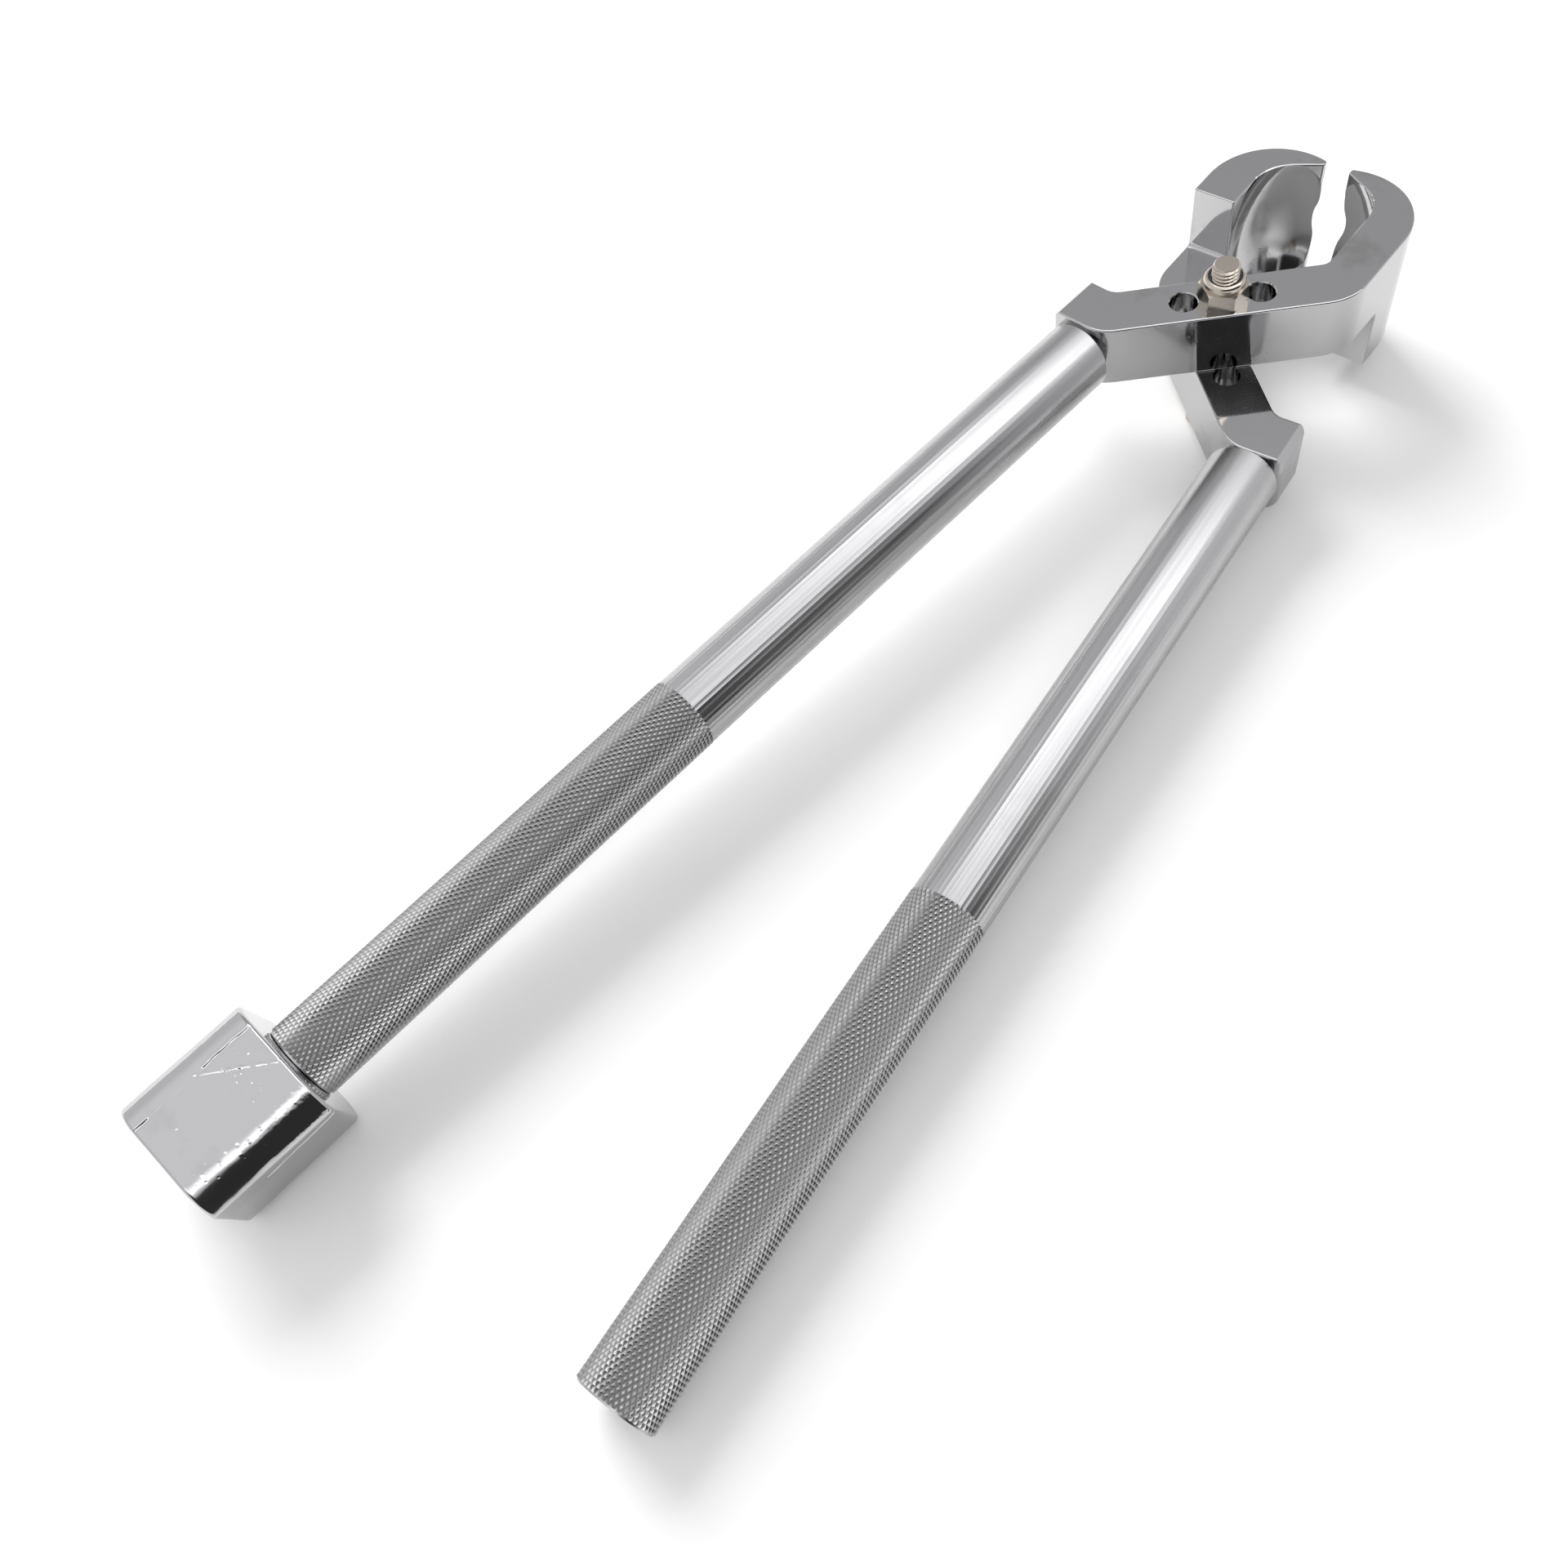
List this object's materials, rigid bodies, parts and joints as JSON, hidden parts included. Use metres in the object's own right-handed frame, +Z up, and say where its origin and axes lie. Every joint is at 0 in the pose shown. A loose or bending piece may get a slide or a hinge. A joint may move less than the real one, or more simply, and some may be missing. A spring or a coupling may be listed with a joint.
{
  "type": "lobster cracker",
  "caption": "Long-handled lobster cracker with two lapped claw jaws on an adjustable pivot bolt, knurled bar handles and a hammer block on the end of one handle.",
  "frame": {"origin": "on the pivot bolt's axis, on the flat underside of the bolt head, which is the lowest point of the tool", "axes": "+Z up along the pivot bolt, out of the nut; +Y forward from the pivot to the claw tips, so the handles run towards -Y; +X to the side of the plain handle"},
  "size_m": [0.1471, 0.4373, 0.0595],
  "materials": {
    "jaw_chrome": "polished chrome over a smooth casting",
    "bar_chrome": "chrome over drawn bar, half knurled",
    "hammer_chrome": "chrome over a rougher casting with small blisters",
    "fastener_plating": "warm nickel-toned zinc plating",
    "nylon": "black nylon locking ring"
  },
  "bodies": {
    "hammer_half": {"jaw_upper": "jaw_chrome", "handle_bar_hammer_side": "bar_chrome", "hammer_block": "hammer_chrome", "pivot_bolt": "fastener_plating", "lock_nut": "fastener_plating", "lock_nut_insert": "nylon"},
    "plain_half": {"jaw_lower": "jaw_chrome", "handle_bar_plain_side": "bar_chrome"}
  },
  "joints": [
    {"name": "pivot", "type": "hinge", "parent": "hammer_half", "child": "plain_half", "pos_m": [0, 0, 0.0264], "axis": [0, 0, 1], "range_deg": [-7, 80]}
  ]
}
